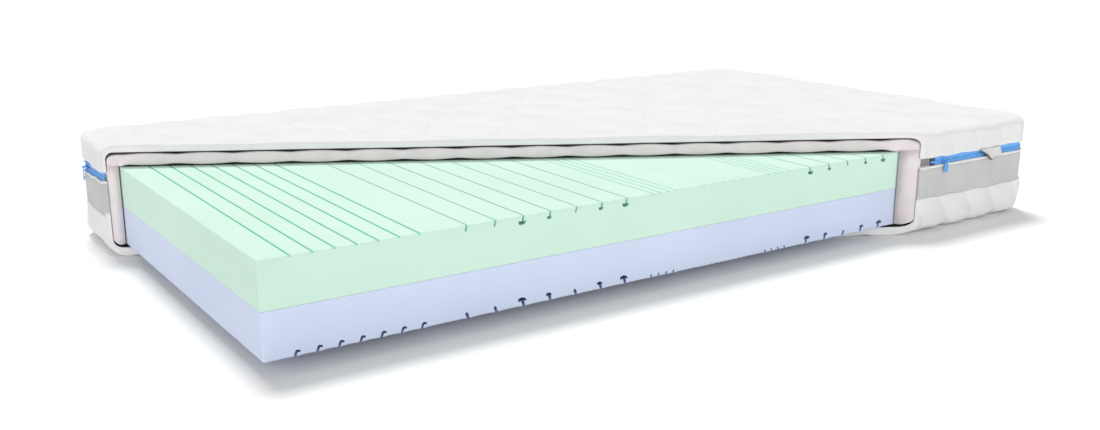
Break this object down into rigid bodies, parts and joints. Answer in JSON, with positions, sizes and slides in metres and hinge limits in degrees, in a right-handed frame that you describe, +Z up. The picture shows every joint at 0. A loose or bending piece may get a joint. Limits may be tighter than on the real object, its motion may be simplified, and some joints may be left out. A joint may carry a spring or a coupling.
{
  "type": "memory foam mattress",
  "caption": "Foam mattress with a two-layer channelled core, quilted padding and a zip-off cover with mesh border, one corner cut away to show the layers.",
  "frame": {"origin": "centre of the mattress footprint, on the underside of the cover", "axes": "+X along the length with the cut-away corner at -X, -Y; -Y is the front side with the slider and flap; +Z up through the thickness"},
  "size_m": [2.0057, 1.1057, 0.24],
  "materials": {
    "cover": "matte",
    "padding": "matte",
    "mesh": "matte",
    "binding": "matte",
    "comfort_foam": "matte",
    "base_foam": "matte",
    "zip_tape": "matte",
    "zip_coil": "satin",
    "slider": "satin"
  },
  "bodies": {
    "lower_cover": {"bottom_quilt_panel": "cover", "lower_border_front": "cover", "lower_border_right": "cover", "lower_border_back": "cover", "lower_border_left": "cover", "mesh_border_front": "mesh", "mesh_border_right": "mesh", "mesh_border_back": "mesh", "mesh_border_left": "mesh", "mesh_top_binding": "binding", "lower_zip_tape": "zip_tape", "lower_zip_coil": "zip_coil", "zip_end_stop": "slider"},
    "foam_core": {"core_base_layer": "base_foam", "core_top_layer": "comfort_foam"},
    "inner_pad": {"top_pad": "padding", "side_pad_front": "padding", "side_pad_right": "padding", "side_pad_back": "padding", "side_pad_left": "padding"},
    "upper_cover": {"top_quilt_panel": "cover", "upper_border_front": "cover", "upper_border_right": "cover", "upper_border_back": "cover", "upper_border_left": "cover", "upper_zip_tape": "zip_tape", "upper_zip_coil": "zip_coil", "zip_garage_flap": "cover"},
    "front_slider": {"front_slider": "slider"},
    "front_pull": {"front_pull_tab": "slider"},
    "end_slider": {"end_slider": "slider"},
    "end_pull": {"end_pull_ring": "slider"}
  },
  "joints": [
    {"name": "core_lift", "type": "slide", "parent": "lower_cover", "child": "foam_core", "axis": [0, 0, 1], "range_m": [0, 0.2]},
    {"name": "pad_lift", "type": "slide", "parent": "foam_core", "child": "inner_pad", "axis": [0, 0, 1], "range_m": [0, 0.2]},
    {"name": "cover_lift", "type": "slide", "parent": "inner_pad", "child": "upper_cover", "axis": [0, 0, 1], "range_m": [0, 0.1]},
    {"name": "front_zip_slide", "type": "slide", "parent": "lower_cover", "child": "front_slider", "axis": [1, 0, 0], "range_m": [-0.022, 0.115]},
    {"name": "front_pull_swing", "type": "hinge", "parent": "front_slider", "child": "front_pull", "pos_m": [0.665, -0.5535, 0.165], "axis": [-1, 0, 0], "range_deg": [0, 170]},
    {"name": "end_zip_slide", "type": "slide", "parent": "lower_cover", "child": "end_slider", "axis": [0, 1, 0], "range_m": [-0.13, 0]},
    {"name": "end_pull_swing", "type": "hinge", "parent": "end_slider", "child": "end_pull", "pos_m": [-1.0035, 0.48, 0.165], "axis": [0, 1, 0], "range_deg": [0, 170]}
  ]
}
